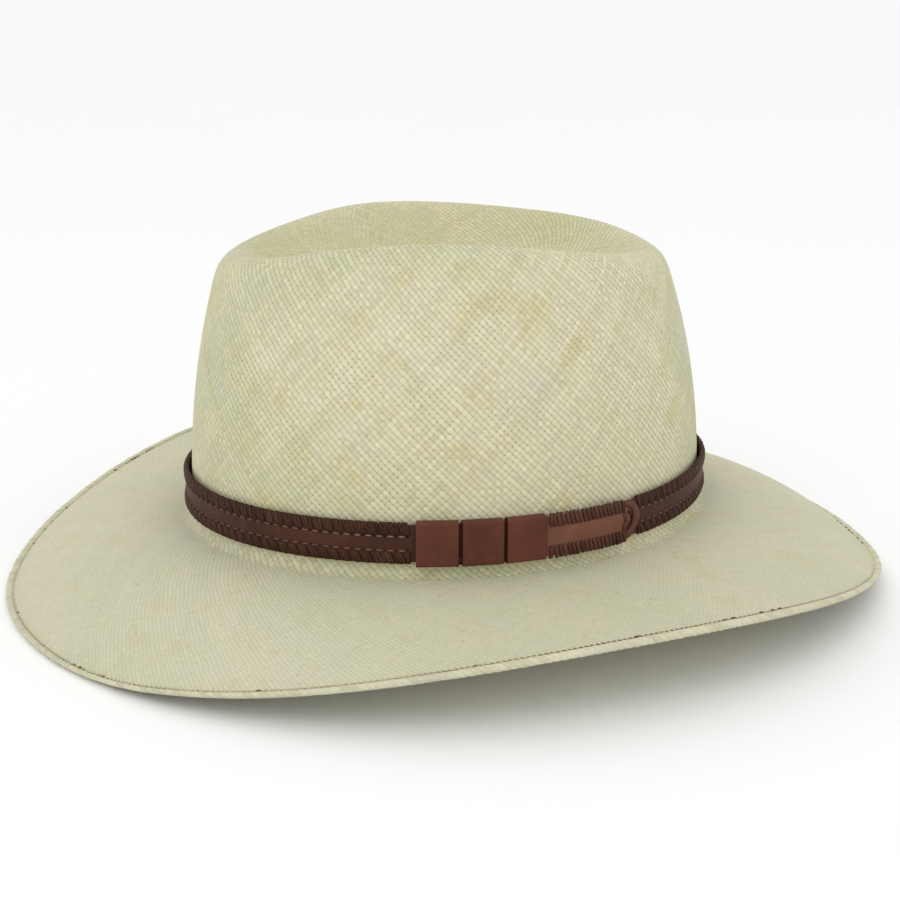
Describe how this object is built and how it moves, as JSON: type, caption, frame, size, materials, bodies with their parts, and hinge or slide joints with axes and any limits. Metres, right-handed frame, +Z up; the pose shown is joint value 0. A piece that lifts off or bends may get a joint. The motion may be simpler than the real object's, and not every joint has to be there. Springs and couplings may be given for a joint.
{
  "type": "panama hat",
  "caption": "Woven straw hat with a dented crown, a wide saddle-shaped brim, a leather sweatband inside and a laced leather hatband with sliding keepers.",
  "frame": {"origin": "centre of the footprint, on the surface that the brim's front and back edges stand on", "axes": "+Z up through the crown, -Y towards the wearer's front, +X towards the wearer's left"},
  "size_m": [0.325, 0.344, 0.1356],
  "materials": {
    "straw": "matte woven straw",
    "straw_edge": "matte overcast straw",
    "edge_thread": "matte thread",
    "sweatband_leather": "smooth satin leather",
    "reed": "matte",
    "ribbon": "ribbed ribbon",
    "sweatband_thread": "matte thread",
    "strap_leather": "satin leather",
    "lace_leather": "satin leather lace",
    "band_thread": "matte thread",
    "tab_leather": "satin leather",
    "keeper_leather": "satin leather"
  },
  "bodies": {
    "root": {"straw_body": "straw", "brim_edge": "straw_edge", "brim_edge_stitches": "edge_thread", "sweatband": "sweatband_leather", "sweatband_reed": "reed", "sweatband_tape": "ribbon", "sweatband_stitches": "sweatband_thread", "sweatband_seam": "sweatband_thread", "sweatband_bow": "ribbon"},
    "hatband": {"hatband_strap": "strap_leather", "hatband_lacing_upper": "lace_leather", "hatband_lacing_lower": "lace_leather", "hatband_stitches_upper": "band_thread", "hatband_stitches_lower": "band_thread", "hatband_joint_stitches": "band_thread", "hatband_tab": "tab_leather", "tab_lacing": "lace_leather"},
    "keeper_front": {"keeper_front": "keeper_leather"},
    "keeper_middle": {"keeper_middle": "keeper_leather"},
    "keeper_rear": {"keeper_rear": "keeper_leather"}
  },
  "joints": [
    {"name": "hatband_lift", "type": "slide", "parent": "root", "child": "hatband", "axis": [0, 0, 1], "range_m": [0, 0.12]},
    {"name": "keeper_front_slide", "type": "hinge", "parent": "hatband", "child": "keeper_front", "pos_m": [-0.02004, 0, 0.038], "axis": [0, 0, 1], "range_deg": [-1, 0.35]},
    {"name": "keeper_middle_slide", "type": "hinge", "parent": "hatband", "child": "keeper_middle", "pos_m": [-0.02004, 0, 0.038], "axis": [0, 0, 1], "range_deg": [-0.3, 0.22]},
    {"name": "keeper_rear_slide", "type": "hinge", "parent": "hatband", "child": "keeper_rear", "pos_m": [-0.02004, 0, 0.038], "axis": [0, 0, 1], "range_deg": [-0.2, 0.5]}
  ]
}
